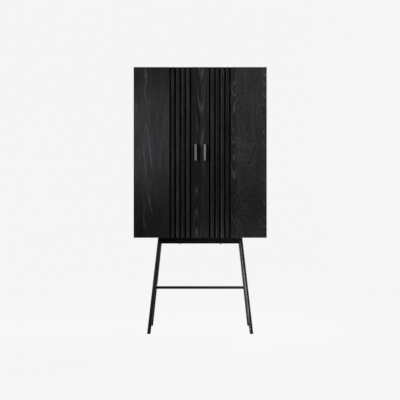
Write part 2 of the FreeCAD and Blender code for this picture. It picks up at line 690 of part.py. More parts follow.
def tube_rail(x0, x1, y0, y1, others=()):
    """A square tube that lies along its longer side, coped to the legs and to other rails."""
    low = RAIL_TOP - RAIL
    outer = box(x0, x1, y0, y1, low, RAIL_TOP)
    wall_x = RAIL_WALL if y1 - y0 > x1 - x0 else -1
    wall_y = RAIL_WALL if x1 - x0 > y1 - y0 else -1
    inner = box(x0 + wall_x, x1 - wall_x, y0 + wall_y, y1 - wall_y, low + RAIL_WALL, RAIL_TOP - RAIL_WALL)
    shape = outer.cut([inner] + all_legs(LEG_DIAMETER / 2) + bolts(JOINT_CLEARANCE) + list(others))
    return max(shape.Solids, key=lambda solid: solid.Volume)


def make_rails():
    half = RAIL / 2
    for name, end in FRAME_ENDS:
        y = FRAME_MIDDLE_Y + end * RAIL_HALF_Y
        save("rail_" + name, tube_rail(-RAIL_SIDE_X, RAIL_SIDE_X, y - half, y + half))
    crossing = [rail_box(end) for _, end in FRAME_ENDS]
    for name, side in SIDES:
        x = side * RAIL_SIDE_X
        save("rail_" + name, tube_rail(x - half, x + half, FRAME_MIDDLE_Y - RAIL_HALF_Y,
                                       FRAME_MIDDLE_Y + RAIL_HALF_Y, crossing))


def make_legs():
    slab = box(-CABINET_WIDTH, CABINET_WIDTH, -TOTAL_DEPTH, TOTAL_DEPTH, GLIDE_HEIGHT, FRAME_HEIGHT)
    ground = box(-CABINET_WIDTH, CABINET_WIDTH, -TOTAL_DEPTH, TOTAL_DEPTH, 0, FRAME_HEIGHT)
    glides = []
    for side_name, side in SIDES:
        for end_name, end in FRAME_ENDS:
            outer = leg_solid(side, end, LEG_DIAMETER / 2)
            bore = leg_solid(side, end, LEG_DIAMETER / 2 - LEG_WALL)
            save("leg_" + end_name + "_" + side_name, outer.common(slab).cut(bore).Solids[0])
            pad = outer.common(ground).cut(slab)
            plug = rod(leg_point(side, end, GLIDE_HEIGHT / 2),
                       leg_point(side, end, GLIDE_HEIGHT + GLIDE_PLUG),
                       LEG_DIAMETER / 2 - LEG_WALL - GLIDE_CLEARANCE)
            glides.append(join([pad, plug]))
    save("foot_glides", group(glides))


def make_stretchers():
    height = STRETCHER_HEIGHT
    radius = STRETCHER_DIAMETER / 2
    legs = all_legs(LEG_DIAMETER / 2)
    sides = []
    for name, side in SIDES:
        bar = rod(leg_point(side, -1, height), leg_point(side, 1, height), radius)
        shape = max(bar.cut(legs).Solids, key=lambda solid: solid.Volume)
        save("stretcher_" + name, shape)
        sides.append(bar)
    reach = leg_point(1, 1, height).x
    cross = rod(Vector(-reach, FRAME_MIDDLE_Y, height), Vector(reach, FRAME_MIDDLE_Y, height), radius)
    save("stretcher_cross", max(cross.cut(sides).Solids, key=lambda solid: solid.Volume))


def make_mounting_board():
    half_x = RAIL_SIDE_X + RAIL / 2 - BOARD_SETBACK
    half_y = RAIL_HALF_Y + RAIL / 2 - BOARD_SETBACK
    board = box(-half_x, half_x, FRAME_MIDDLE_Y - half_y, FRAME_MIDDLE_Y + half_y, RAIL_TOP, CASE_BOTTOM)
    cuts = all_legs(LEG_DIAMETER / 2 + GLIDE_CLEARANCE) + bolts(JOINT_CLEARANCE)
    shape = board.cut(cuts)
    save("mounting_board", max(shape.Solids, key=lambda solid: solid.Volume))


def make_frame():
    make_legs()
    make_rails()
    make_stretchers()
    make_mounting_board()
    save("frame_bolts", group(bolts()))


def make_case_screws():
    pieces = back_screws() + catch_screws()
    for _, sign in SIDES:
        for height in DOOR_HINGE_HEIGHTS:
            pieces += at_door_hinge(CARRIER_SCREWS, sign, height).Solids
    save("case_screws", group(pieces))


make_case()
make_rack()
make_hinges()
make_case_screws()
make_catch()
for door_side, door_sign in SIDES:
    make_door(door_side, door_sign)
make_leaf()
make_bracket()
make_frame()
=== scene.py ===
import math

import bmesh
import bpy
from mathutils import Matrix, Vector


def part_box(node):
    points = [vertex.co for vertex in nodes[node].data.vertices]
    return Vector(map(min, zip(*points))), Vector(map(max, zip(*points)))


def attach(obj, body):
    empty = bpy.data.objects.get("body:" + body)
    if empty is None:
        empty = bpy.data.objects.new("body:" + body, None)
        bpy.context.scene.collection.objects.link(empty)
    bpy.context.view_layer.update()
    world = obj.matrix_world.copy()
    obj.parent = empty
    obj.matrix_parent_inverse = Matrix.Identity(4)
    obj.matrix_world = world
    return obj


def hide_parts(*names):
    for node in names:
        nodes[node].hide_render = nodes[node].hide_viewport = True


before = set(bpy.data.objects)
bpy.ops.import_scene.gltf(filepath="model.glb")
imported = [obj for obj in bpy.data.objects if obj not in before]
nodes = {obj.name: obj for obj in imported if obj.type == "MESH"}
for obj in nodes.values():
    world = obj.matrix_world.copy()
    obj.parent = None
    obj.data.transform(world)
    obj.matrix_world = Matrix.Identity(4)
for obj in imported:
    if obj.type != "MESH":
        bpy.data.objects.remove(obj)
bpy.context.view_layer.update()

MM = 0.001
# how near two corners are taken as one, and as level with each other
MERGE = 0.001 * MM
SAME = 0.01 * MM
SIDES = (("left", -1), ("right", 1))
DOOR_FACE_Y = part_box("outer_facing_left")[0].y


# ---- shader nodes

class Value:
    """A shader socket. Expressions on values add their own Math nodes."""

    def __init__(self, finish, socket):
        self.finish = finish
        self.socket = socket

    def __add__(self, other):
        return self.finish.math("ADD", self, other)

    def __sub__(self, other):
        return self.finish.math("SUBTRACT", self, other)

    def __rsub__(self, other):
        return self.finish.math("SUBTRACT", other, self)

    def __mul__(self, other):
        return self.finish.math("MULTIPLY", self, other)

    __radd__ = __add__
    __rmul__ = __mul__


class Finish:
    """One material, or the world, and the nodes that make it."""

    def __init__(self, name, owner=None):
        self.owner = owner or bpy.data.materials.new(name)
        self.owner.use_nodes = True
        self.tree = self.owner.node_tree
        self.tree.nodes.clear()

    def node(self, kind, settings=None, inputs=None, output=0):
        """Add a node, set its settings, then feed its sockets with values or links."""
        made = self.tree.nodes.new("ShaderNode" + kind)
        for key, value in (settings or {}).items():
            if key == "stops":
                set_stops(made.color_ramp, value)
            else:
                setattr(made, key, value)
        for key, value in (inputs or {}).items():
            if isinstance(value, Value):
                self.tree.links.new(value.socket, made.inputs[key])
            else:
                made.inputs[key].default_value = value
        return Value(self, made.outputs[output]) if made.outputs else None

    def also(self, value, output):
        """Another output of the node that gave a value."""
        return Value(self, value.socket.node.outputs[output])

    def math(self, operation, *terms):
        return self.node("Math", {"operation": operation}, dict(enumerate(terms)))

    def distance(self, value, place):
        """How far a value is from a place, either way."""
        return self.math("ABSOLUTE", value - place)

    def ramp(self, value, *stops):
        return self.node("ValToRGB", {"stops": stops}, {0: value})

    def band(self, value, low, high, least=0.0):
        """A smooth step from least to 1, as a value goes from low to high."""
        return self.node("MapRange", {"interpolation_type": "SMOOTHSTEP"},
                         {0: value, 1: low, 2: high, 3: least, 4: 1.0})

    def place(self, shift=(0, 0, 0), scale=(1, 1, 1)):
        """Object coordinates, stretched and then moved."""
        coordinates = self.node("TexCoord", output="Object")
        return self.node("Mapping", {}, {"Vector": coordinates, "Location": shift, "Scale": scale})

    def parts(self, vector):
        first = self.node("SeparateXYZ", {}, {0: vector})
        return first, self.also(first, 1), self.also(first, 2)

    def together(self, x, y, z):
        return self.node("CombineXYZ", {}, {0: x, 1: y, 2: z})

    def noise(self, vector, scale=1.0, detail=2.0, roughness=0.5):
        return self.node("TexNoise", {}, {"Vector": vector, "Scale": scale, "Detail": detail,
                                          "Roughness": roughness})

    def blend(self, factor, first, second):
        """A colour between two colours."""
        return self.node("Mix", {"data_type": "RGBA"}, {0: factor, 6: first, 7: second}, output=2)

    def bump(self, height, distance, strength):
        return self.node("Bump", {}, {"Height": height, "Distance": distance, "Strength": strength})

    def surface(self, **inputs):
        named = {key.replace("_", " "): value for key, value in inputs.items()}
        return self.output(self.node("BsdfPrincipled", {}, named))

    def output(self, shader, kind="OutputMaterial"):
        self.node(kind, {}, {"Surface": shader})
        return self.owner


def set_stops(color_ramp, stops):
    while len(color_ramp.elements) < len(stops):
        color_ramp.elements.new(0.5)
    for element, (place, level) in zip(color_ramp.elements, stops):
        element.position = place
        element.color = (level, level, level, 1)


def rgb(red, green, blue):
    return (red, green, blue, 1.0)


def grey(level, blueness=1.0):
    return rgb(level, level, level * blueness)


def paint(material, *names):
    """Give CAD nodes a material."""
    for name in names:
        for slot in nodes[name].material_slots:
            slot.material = material


# ---- wood

# which of X, Y, Z runs across the grain, through the board and along the grain
ACROSS, THROUGH, ALONG = range(3)
FRONT = (0, 1, 2)
SIDE = (1, 0, 2)
FLAT = (1, 2, 0)
FLAT_DEEP = (0, 2, 1)
FLAP = (2, 1, 0)

# how often each layer of the wood varies in a metre, across the grain and along it
LONG_WAVE = (5.0, 1.6)
SHORT_WAVE = (20.0, 8.0)
PORES = (1500.0, 55.0)
HAIRS = (900.0, 16.0)
FIBRES = (210.0, 4.5)
FLECKS = (62.0, 30.0)
COARSE_FLECKS = (110.0, 60.0)
PATCHES = (9.0, 6.0)
CLOUDS = (11.0, 4.0)
BREAKS = (40.0, 6.5)
RUNS = (30.0, 7.0)

# the stain's tones are written at this strength, and a board's own tone thins them
FULL_STAIN = 0.1
STAIN_BLACK = grey(0.0)
STAIN_COOL = rgb(0.0972, 0.0987, 0.107)
STAIN_WARM = rgb(0.106, 0.0952, 0.105)
STAIN_NEUTRAL = grey(FULL_STAIN)
STAIN_GREY = rgb(0.0993, 0.0998, 0.1012)
BOARD_TONE = 0.0240

# where a noise turns into pores, patches and the second tint, and the least that is left
PORE_EDGE = (0.56, 0.66)
PATCH_EDGE = (0.40, 0.60, 0.2)
TINT_EDGE = (0.46, 0.60)
FAR_RINGS = 0.12
LEAST_GROUND = 0.2
PORE_SHADE = 0.45
PORE_DEPTH = 0.12 * MM
WOOD_ROUGHNESS = 0.56
# painted shade at the bottom of the grooves: the share of the stain left there, and how wide its
# edge is
GROOVE_SHADE_SHARE = 0.03
GROOVE_SHADE_EDGE = 3 * MM


class Board:
    """Where a point is in a board, as shader values, and how the grain wanders there."""

    def __init__(self, finish, order, face, seed):
        axes = finish.parts(finish.place())
        self.finish = finish
        self.face = face
        self.seed = seed
        self.across, self.through, self.along = [axes[axis] for axis in order]
        self.long_wave = self.layer(LONG_WAVE, moved=ACROSS) - 0.5
        self.short_wave = self.layer(SHORT_WAVE, moved=THROUGH) - 0.5

    def grain(self, often, moved):
        """A place for noise, stretched along the grain. The seed moves it along one axis."""
        wide, long = often
        places = [self.across * wide, self.through * wide, self.along * long]
        if moved is not None:
            places[moved] = places[moved] + self.seed
        return self.finish.together(*places)

    def layer(self, often, detail=2.0, roughness=0.5, moved=None):
        """Noise that is stretched along the grain."""
        return self.finish.noise(self.grain(often, moved), detail=detail, roughness=roughness)

    def sheet_layer(self, often, seed, detail=3.0):
        """Noise along the grain that is the same all through the board."""
        wide, long = often
        place = self.finish.together(self.across * wide, seed, self.along * long)
        return self.finish.noise(place, detail=detail)


def growth_rings(board, seed, middle=0.0, depth=0.1, arch=0.0, apex=0.0, ring=0.0024,
                 sway=0.03, wiggle=0.008, reach=0.06, uneven=0.3, broken=(0.42, 0.60, 0.0),
                 line=(0.40, 0.72, 0.88), span=None):
    """The pale late wood of growth rings, and how near the axis of the figure is.

    The rings stand round an axis that is depth behind the face at middle, and arch bends
    them towards a point at the height apex. Each is as wide as ring. The axis wanders by sway
    and wiggle, and the figure is strong within reach of it. Broken says where it fades, line
    where one ring starts, peaks and ends, and span which stretch of height the rings fill.
    """
    finish = board.finish
    side = board.across - middle + board.long_wave * sway + board.short_wave * wiggle
    deep = (board.through - board.face) * 0.5 + depth + finish.distance(board.along, apex) * arch
    radius = finish.math("SQRT", side * side + deep * deep)
    phase = finish.math("FRACT", radius * (1 / ring) + board.short_wave * uneven)
    start, peak, end = line
    late = finish.ramp(phase, (0.0, 0.0), (start, 0.08), (peak, 1.0), (end, 0.3), (1.0, 0.0))
    kept = finish.band(board.sheet_layer(BREAKS, seed), *broken)
    if span:
        kept = kept * within(board, *span)
    near = finish.band(finish.math("ABSOLUTE", side), reach, reach * 0.3)
    return late * kept * (near * (1 - FAR_RINGS) + FAR_RINGS), near


def within(board, low, high):
    """1 inside a stretch of height, 0 outside it."""
    edge = 30 * MM
    rising = board.finish.band(board.along, low, low + edge)
    return rising * board.finish.band(board.along, high, high - edge)


def streak_lines(board, start, bend, lean, pitch, centre, half, gain):
    """Light lines that run straight down to the height bend and then lean sideways."""
    finish = board.finish
    below = finish.math("MINIMUM", board.along - bend, 0.0)
    path = board.across - start + below * lean + board.short_wave * 0.06
    above_zero = 100.0
    phase = finish.math("FRACT", path * (1 / pitch) + above_zero)
    lines = finish.ramp(phase, (0.0, 1.0), (0.13, 0.10), (0.38, 0.0), (0.46, 0.35), (0.55, 0.0),
                        (0.86, 0.05), (1.0, 1.0))
    near = finish.band(finish.distance(board.across, centre), half, half * 0.55)
    kept = finish.band(board.sheet_layer(RUNS, board.seed, detail=2.0), 0.36, 0.58, 0.15)
    return lines * near * kept * gain


def painted_light_band(board, height, far, near, dim):
    """Painted light: 1 near a height of the board, and dim far from it."""
    return board.finish.band(board.finish.distance(board.along, height), far, near, dim)


def painted_groove_shade(board, depth):
    """The share of the stain that is left ahead of a depth: painted shade that darkens the bottom
    of the grooves nearly to black.
    """
    return board.finish.band(board.through, depth - GROOVE_SHADE_EDGE, depth, GROOVE_SHADE_SHARE)


def painted_slat_light(board, first, pitch, stops):
    """Painted light and shade across each slat of a group, from its first slat's edge on: a painted
    highlight along the slat's left edge and painted shade further across.
    """
    finish = board.finish
    place = finish.math("FRACT", (board.across - first) * (1 / pitch))
    return finish.ramp(place, *stops) * 2.0


def stained_veneer(name, tone, seed, rings, figure, order=FRONT, face=DOOR_FACE_Y,
                   edge_figure=None, valley=0.0, streak=None, light_band=None, slat_light=None,
                   groove_shade_to=None, cloud=0.9, mottle=0.7, fleck=FLECKS, thread=1.3,
                   tints=(STAIN_NEUTRAL, STAIN_GREY), gloss=0.03):
    """Black stained open pore veneer with its ring figure and, where asked for, an edge figure.

    Rings is how pale the late wood is. Valley darkens the middle of the figure, and cloud,
    mottle and thread say how strong the clouds, flecks and fibres are.
    """
    finish = Finish(name)
    board = Board(finish, order, face, seed)
    late, near = growth_rings(board, seed, **figure)
    if edge_figure:
        late = late + growth_rings(board, seed + 4.0, **edge_figure)[0]

    pores = finish.band(board.layer(PORES, detail=1.0, moved=ALONG), *PORE_EDGE)
    hairs = board.layer(HAIRS, roughness=0.6) - 0.5
    fibres = board.layer(FIBRES, roughness=0.6, moved=ACROSS) - 0.5
    patches = finish.band(board.sheet_layer(PATCHES, seed), *PATCH_EDGE)
    flecks = (board.layer(fleck, detail=3.0, roughness=0.6, moved=THROUGH) - 0.5) * patches
    clouds = board.layer(CLOUDS, moved=ACROSS)

    ground = 1.0 + (clouds - 0.5) * cloud + fibres * thread + hairs * 0.8 + flecks * mottle
    ground = finish.math("MAXIMUM", ground, LEAST_GROUND)
    stain = ground * (1.0 - near * valley) * tone + late * rings
    # painted light: paler near one height and darker away from it
    if light_band:
        stain = stain * painted_light_band(board, **light_band)
    # painted shade at the bottom of the grooves
    if groove_shade_to:
        stain = stain * painted_groove_shade(board, groove_shade_to)
    # painted light and shade across each slat
    if slat_light:
        stain = stain * painted_slat_light(board, **slat_light)
    if streak:
        stain = stain + streak_lines(board, **streak)
    stain = stain * (1.0 - pores * PORE_SHADE)

    drift = finish.noise(board.grain(CLOUDS, ACROSS), scale=1.3, detail=1.0)
    tint = finish.blend(finish.band(drift, *TINT_EDGE), *tints)
    colour = finish.blend(stain * (1 / FULL_STAIN), STAIN_BLACK, tint)
    rough = WOOD_ROUGHNESS + pores * 0.15 - late * 0.10 - (clouds - 0.5) * 0.2
    relief = late * 0.4 + hairs * 0.5 - pores
    return finish.surface(Base_Color=colour, Roughness=rough, Specular_IOR_Level=gloss,
                          Normal=finish.bump(relief, distance=PORE_DEPTH, strength=0.5))


def stained_board(name, tone, seed):
    """Board that is stained flat black, with a faint sanded grain."""
    finish = Finish(name)
    fine = finish.noise(finish.place(shift=(seed, 0, 0), scale=(700, 700, 30)), detail=3.0)
    cloud = finish.noise(finish.place(shift=(seed, 0, 0), scale=(12, 12, 5)))
    shade = (fine * 0.8 + cloud * 0.6 + 0.3) * (tone / FULL_STAIN)
    colour = finish.blend(shade, STAIN_BLACK, STAIN_NEUTRAL)
    return finish.surface(Base_Color=colour, Roughness=0.62 + fine * 0.2, Specular_IOR_Level=0.05,
                          Normal=finish.bump(fine, distance=0.1 * MM, strength=0.4))


def beech(name):
    """Dowels of plain pale wood."""
    finish = Finish(name)
    grain = finish.noise(finish.place(scale=(20, 900, 900)), detail=3.0)
    colour = finish.blend(grain, rgb(0.46, 0.30, 0.17), rgb(0.62, 0.45, 0.28))
    return finish.surface(Base_Color=colour, Roughness=0.55 + grain * 0.1,
                          Normal=finish.bump(grain, distance=0.1 * MM, strength=0.4))


def finish_left_facing():
    """Straight grain with a few light lines that lean outwards lower down."""
    figure = dict(middle=-0.36, depth=0.12, arch=0.02, reach=0.09)
    streak = dict(start=-0.305, bend=1.24, lean=0.14, pitch=0.042, centre=-0.297, half=0.034,
                  gain=0.036)
    # partly the panel's own tone and partly painted light: paler round one height, darker above and
    # below it
    light_band = dict(height=1.08, far=0.41, near=0.12, dim=0.42)
    paint(stained_veneer("stained_veneer_outer_left", 0.0306, 3.1, 0.010, figure, streak=streak,
                         light_band=light_band, mottle=0.5, tints=(STAIN_COOL, STAIN_WARM)),
          "outer_facing_left")


def finish_right_facing():
    """Chains of small arches down both edges, and a pebbled middle."""
    figure = dict(middle=0.190, depth=0.05, arch=0.025, apex=2.2, ring=0.00225, reach=0.024,
                  sway=0.012, wiggle=0.016, uneven=1.6, broken=(0.42, 0.54, 0.0),
                  line=(0.60, 0.76, 0.88))
    edge_figure = dict(middle=0.364, depth=0.05, arch=0.036, apex=2.2, ring=0.0024, reach=0.018,
                       sway=0.01, wiggle=0.012, uneven=1.2, broken=(0.38, 0.50, 0.0),
                       line=(0.60, 0.76, 0.88))
    # painted light: paler at the top, darker towards the bottom
    light_band = dict(height=1.45, far=1.20, near=0.35, dim=0.50)
    paint(stained_veneer("stained_veneer_outer_right", 0.0260, 2.6, 0.044, figure,
                         edge_figure=edge_figure, valley=0.35, light_band=light_band, cloud=0.8,
                         mottle=2.6, fleck=COARSE_FLECKS, thread=1.2),
          "outer_facing_right")


def finish_inner_facings():
    """One sheet of veneer over both doors: pointed arches above the pulls, fine ones below."""
    figure = dict(middle=0.003, depth=0.1456, arch=-0.0196, ring=0.0038, reach=0.05, sway=0.014,
                  wiggle=0.007, uneven=0.35, broken=(0.34, 0.56, 0.15),
                  line=(0.52, 0.75, 0.88), span=(1.04, 2.0))
    low_figure = dict(middle=-0.021, depth=0.1203, arch=0.0075, ring=0.00085, reach=0.022,
                      sway=0.006, wiggle=0.004, uneven=0.35, broken=(0.34, 0.54, 0.25),
                      line=(0.50, 0.75, 0.90), span=(0.5, 0.86))
    streak = dict(start=0.007, bend=2.0, lean=0.0, pitch=0.0113, centre=0.0125, half=0.014,
                  gain=0.036)
    for side, tone, rings in (("left", 0.0095, 0.040), ("right", 0.0131, 0.034)):
        paint(stained_veneer("stained_veneer_inner_" + side, tone, 5.7, rings, figure,
                             edge_figure=low_figure, streak=streak, cloud=0.4, mottle=0.9,
                             thread=2.0),
              "inner_facing_" + side)


def finish_slats():
    """Plain dark and light slats with painted light and shade across each slat, a different profile
    on each side.
    """
    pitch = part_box("slats_dark_right")[0].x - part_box("slats_light_right")[0].x
    # how the painted light and shade runs across a slat on each door
    stops = {"left": ((0.0, 0.72), (0.15, 0.68), (0.30, 0.56), (0.45, 0.47), (0.69, 0.42)),
             "right": ((0.0, 0.60), (0.12, 0.80), (0.24, 0.62), (0.36, 0.20), (0.48, 0.35),
                       (0.58, 0.60), (0.69, 0.50))}
    for shade, tone, rings, seed, middle in (("dark", 0.0120, 0.012, 1.9, -0.3),
                                             ("light", 0.0162, 0.018, 6.3, 0.3)):
        figure = dict(middle=middle, depth=0.2, reach=0.9)
        for side, _ in SIDES:
            node = "slats_" + shade + "_" + side
            slat_light = dict(first=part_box(node)[0].x, pitch=pitch, stops=stops[side])
            paint(stained_veneer("stained_slat_" + shade + "_" + side, tone, seed, rings, figure,
                                 slat_light=slat_light, cloud=1.2, mottle=1.3), node)


def finish_door_cores():
    """Painted shade, nearly black, at the bottom of the grooves, stained veneer on the inside of
    the door.
    """
    back_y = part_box("door_core_left")[1].y
    figure = dict(middle=0.0, depth=0.9, arch=0.02, apex=0.4, ring=0.004, reach=0.5)
    paint(stained_veneer("stained_door_core", BOARD_TONE, 3.9, 0.02, figure, FRONT, back_y,
                         groove_shade_to=back_y - 1 * MM, gloss=0.006),
          "door_core_left", "door_core_right")


def finish_case_boards():
    side_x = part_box("side_panel_right")[1].x
    figure = dict(middle=0.03, depth=0.9, arch=0.03, apex=0.3, ring=0.004, reach=0.2)
    paint(stained_veneer("stained_side_veneer", BOARD_TONE, 2.2, 0.02, figure, SIDE, side_x),
          "side_panel_left", "side_panel_right")
    top_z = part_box("top_panel")[1].z
    figure = dict(depth=0.2, ring=0.004, reach=0.3)
    paint(stained_veneer("stained_level_veneer", BOARD_TONE, 4.6, 0.015, figure, FLAT, top_z),
          "top_panel", "bottom_panel", "lower_shelf", "upper_shelf")
    paint(stained_board("stained_back_board", 0.024, 5.0), "back_panel")
    paint(stained_board("stained_mounting_board", 0.004, 2.0), "mounting_board")
    paint(beech("beech_dowel"), "case_dowels")


def finish_fittings():
    """The fold out shelf, the dividers of the bottle bay and the stemware rack."""
    shelf_face_y = -0.157
    figure = dict(middle=1.05, ring=0.004, reach=0.3)
    paint(stained_veneer("stained_shelf_veneer", 0.0250, 7.3, 0.015, figure, FLAP, shelf_face_y),
          "fold_out_shelf")
    rack_z = 1.47
    figure = dict(middle=0.1)
    paint(stained_veneer("stained_divider_veneer", BOARD_TONE, 7.7, 0.01, figure, SIDE, 0.0),
          "bottle_divider_1", "bottle_divider_2", "bottle_divider_3")
    paint(stained_veneer("stained_rack_wood", BOARD_TONE, 9.2, 0.01, figure, FLAT_DEEP, rack_z),
          "rack_battens", "rack_slats")


def finish_wood():
    finish_left_facing()
    finish_right_facing()
    finish_inner_facings()
    finish_slats()
    finish_door_cores()
    finish_case_boards()
    finish_fittings()


# ---- metal and plastic

def powder_coat(name, low, high, rough, seed=0.0, gloss=0.05):
    """Black powder coat: a fine orange peel, slightly duller where it is handled."""
    finish = Finish(name)
    peel = finish.noise(finish.place(shift=(seed, seed, 0)), scale=900.0)
    dull = finish.noise(finish.place(shift=(0, seed, 0)), scale=14.0, detail=4.0)
    colour = finish.blend(dull, grey(low, 1.03), grey(high, 1.03))
    return finish.surface(Base_Color=colour, Roughness=rough + (dull - 0.5) * 0.12,
                          Specular_IOR_Level=gloss,
                          Normal=finish.bump(peel, distance=0.03 * MM, strength=0.25))


def satin_coat(name, low, high):
    """Grey metallic paint with a soft sheen and a fine flake."""
    finish = Finish(name)
    flake = finish.noise(finish.place(), scale=3000.0, detail=1.0)
    rub = finish.noise(finish.place(), scale=35.0, detail=3.0)
    colour = finish.blend(flake * 0.6 + rub * 0.4, grey(low), grey(high))
    return finish.surface(Base_Color=colour, Metallic=0.1, Roughness=0.42 + (rub - 0.5) * 0.12,
                          Specular_IOR_Level=0.15,
                          Normal=finish.bump(flake, distance=0.03 * MM, strength=0.3))


def brushed_metal(name, low, high, rough, lines_along="Z"):
    """Metal with fine lines along one way."""
    finish = Finish(name)
    stretch = {"Z": (2600, 2600, 30), "X": (30, 2600, 2600)}[lines_along]
    lines = finish.noise(finish.place(scale=stretch))
    stains = finish.noise(finish.place(), scale=60.0, detail=3.0)
    colour = finish.blend(stains * 0.6 + lines * 0.4, grey(low), grey(high, 1.01))
    return finish.surface(Base_Color=colour, Metallic=1.0, Roughness=rough + (lines - 0.5) * 0.12,
                          Normal=finish.bump(lines, distance=0.03 * MM, strength=0.4))


def moulded_plastic(name, level):
    """Plastic with a fine spark eroded texture."""
    finish = Finish(name)
    grit = finish.noise(finish.place(), scale=2200.0, detail=1.0)
    cloud = finish.noise(finish.place(), scale=40.0)
    colour = finish.blend(cloud, grey(level * 0.8), grey(level))
    return finish.surface(Base_Color=colour, Roughness=0.5 + (grit - 0.5) * 0.2,
                          Specular_IOR_Level=0.12,
                          Normal=finish.bump(grit, distance=0.04 * MM, strength=0.5))


def finish_metal(frame_coat):
    paint(frame_coat, "leg_front_left", "leg_front_right", "leg_rear_left", "leg_rear_right",
          "stretcher_left", "stretcher_right", "stretcher_cross")
    # the rails' coat is darker than the frame's: painted shade from the case above them
    paint(powder_coat("rail_coat_painted_shade", 0.0025, 0.0045, 0.30, 1.0),
          "rail_front", "rail_rear", "rail_left", "rail_right")
    paint(powder_coat("bracket_powder_coat", 0.014, 0.022, 0.38, 3.0),
          "shelf_bracket", "bracket_eyelets")
    paint(brushed_metal("blackened_hinge_steel", 0.05, 0.09, 0.36),
          "hinge_leaves_case", "hinge_leaves_door_left", "hinge_leaves_door_right", "hinge_pins",
          "shelf_hinge_leaves", "door_shelf_hinge_leaves", "shelf_hinge_pins")
    paint(brushed_metal("nickel_plate", 0.50, 0.62, 0.28, "X"),
          "strike_plate_left", "strike_plate_right", "shelf_strike", "shelf_magnet")
    paint(moulded_plastic("catch_plastic", 0.03), "magnetic_catch")


# ---- mesh work

def keep(shape, name, material, body, slot, *replaced):
    """Turn a bmesh into a finished piece that rides on a body."""
    bmesh.ops.remove_doubles(shape, verts=shape.verts[:], dist=MERGE)
    bmesh.ops.recalc_face_normals(shape, faces=shape.faces[:])
    piece = standing(shape, name, material)
    piece.data.set_sharp_from_angle(angle=math.radians(34))
    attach(piece, body)
    if replaced:
        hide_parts(*replaced)


def standing(shape, name, material):
    """Turn a bmesh into a smooth shaded object in the scene."""
    mesh = bpy.data.meshes.new(name)
    shape.to_mesh(mesh)
    shape.free()
    mesh.shade_smooth()
    mesh.materials.append(material)
    made = bpy.data.objects.new(name, mesh)
    bpy.context.scene.collection.objects.link(made)
    return made


def only(kind, geometry):
    return [item for item in geometry if isinstance(item, kind)]


def only_verts(geometry):
    return only(bmesh.types.BMVert, geometry)


def soften(shape, edges, width, steps):
    """Round edges over, with a width in millimetres."""
    bmesh.ops.bevel(shape, geom=edges, offset=width * MM, offset_type="OFFSET", segments=steps,
                    profile=0.5, affect="EDGES", material=-1)


def turned(outline, steps):
    """A shape turned about Z from an outline of (radius, height), in millimetres."""
    shape = bmesh.new()
    verts = [shape.verts.new((radius * MM, 0, height * MM)) for radius, height in outline]
    edges = [shape.edges.new(pair) for pair in zip(verts, verts[1:])]
    bmesh.ops.spin(shape, geom=verts + edges, cent=(0, 0, 0), axis=(0, 0, 1),
                   angle=2 * math.pi, steps=steps, use_merge=True)
    bmesh.ops.remove_doubles(shape, verts=shape.verts[:], dist=MERGE)
    return shape


def rim_at(shape, height):
    """The open edges at a height, in millimetres."""
    return [edge for edge in shape.edges if edge.is_boundary
            and all(abs(vert.co.z - height * MM) < SAME for vert in edge.verts)]


def added(shape, other, matrix):
    """Add a copy of another bmesh, moved by a matrix."""
    mesh = bpy.data.meshes.new("part")
    other.to_mesh(mesh)
    before = len(shape.verts)
    shape.from_mesh(mesh)
    bpy.data.meshes.remove(mesh)
    shape.verts.ensure_lookup_table()
    bmesh.ops.transform(shape, matrix=matrix, verts=shape.verts[before:])


def islands(name):
    """The separate solids of a CAD node, as lists of their corner places."""
    shape = bmesh.new()
    shape.from_mesh(nodes[name].data)
    bmesh.ops.remove_doubles(shape, verts=shape.verts[:], dist=MERGE)
    left = set(shape.verts)
    groups = []
    while left:
        todo = [left.pop()]
        group = []
        while todo:
            vert = todo.pop()
            group.append(vert.co.copy())
            for edge in vert.link_edges:
                other = edge.other_vert(vert)
                if other in left:
                    left.remove(other)
                    todo.append(other)
        groups.append(group)
    shape.free()
    return sorted(groups, key=lambda group: tuple(sum(group, Vector()) / len(group)))


def corners(places):
    """The lowest and highest corner of a list of places."""
    return [Vector([end(place[axis] for place in places) for axis in range(3)])
            for end in (min, max)]


# ---- screws, bolts and glides

def cross_head_screw(head, shank, length, head_depth):
    """A countersunk screw with a cross recess. Its flat head is at Z 0 and it points down."""
    rim = head / 2
    flat = rim - 0.45
    point = 2.0
    outline = [(flat, 0.0), (rim - 0.12, -0.06), (rim, -0.25), (shank / 2, -head_depth),
               (shank / 2, -length + point), (0.2, -length), (0.0, -length)]
    screw = turned(outline, 24)
    arm = flat * 0.62
    grid = bmesh.ops.create_grid(screw, x_segments=3, y_segments=3, size=arm * MM)["verts"]
    inner = [edge for edge in screw.edges if edge.is_boundary
             and all(vert in grid for vert in edge.verts)]
    outer = [edge for edge in rim_at(screw, 0.0) if edge not in inner]
    bmesh.ops.bridge_loops(screw, edges=inner + outer)
    sink_cross(screw, grid, arm, head_depth * 0.75)
    return screw


def sink_cross(screw, grid, arm, depth):
    """Sink the middle row and the middle column of a grid of nine faces."""
    reach = arm * MM / 3 + SAME
    cross = []
    for face in screw.faces:
        middle = face.calc_center_median()
        if (all(vert in grid for vert in face.verts)
                and min(abs(middle.x), abs(middle.y)) < reach / 2):
            cross.append(face)
    sunk = bmesh.ops.extrude_face_region(screw, geom=cross)
    bmesh.ops.delete(screw, geom=cross, context="FACES")
    floor = only_verts(sunk["geom"])
    bmesh.ops.scale(screw, vec=(0.72, 0.72, 1), verts=floor)
    bmesh.ops.translate(screw, vec=(0, 0, -depth * MM), verts=floor)


